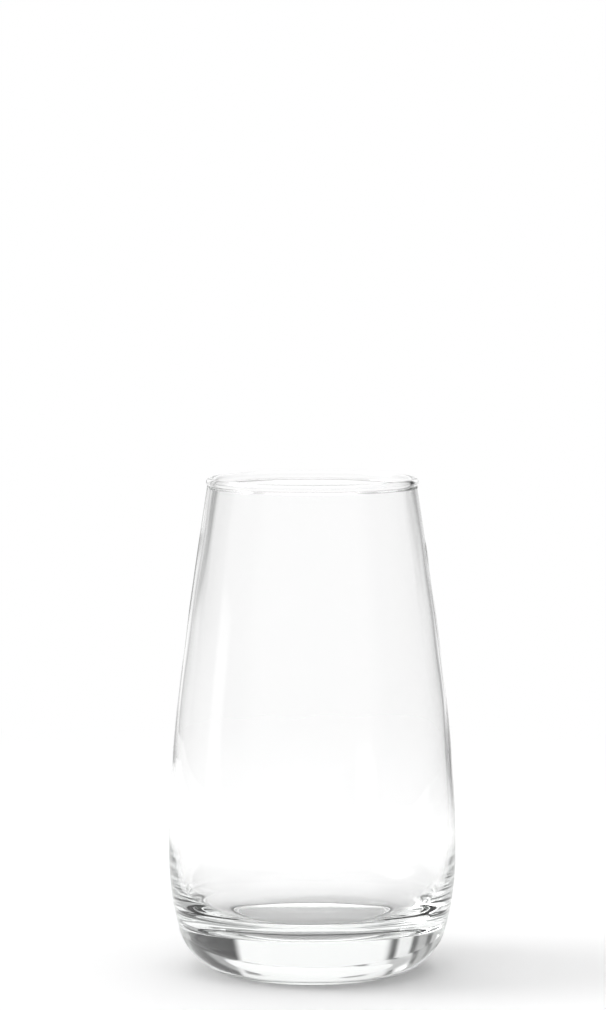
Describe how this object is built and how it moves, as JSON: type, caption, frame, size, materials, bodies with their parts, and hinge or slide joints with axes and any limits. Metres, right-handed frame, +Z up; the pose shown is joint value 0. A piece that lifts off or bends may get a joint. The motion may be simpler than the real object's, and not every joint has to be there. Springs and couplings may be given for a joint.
{
  "type": "glass vase",
  "caption": "Clear glass flower vase, round and near-cylindrical, wider at the belly, with a rounded rim bead and a thick base.",
  "frame": {"origin": "centre of the foot, on the surface that the vase stands on", "axes": "+Z up along the vase's axis, from the foot to the mouth; the vase is round, so X and Y are any two level directions"},
  "size_m": [0.1164, 0.1164, 0.2],
  "materials": {
    "clear_glass": "clear polished glass, very faintly green where it is thick"
  },
  "bodies": {
    "root": {"glass_vase": "clear_glass"}
  },
  "joints": []
}
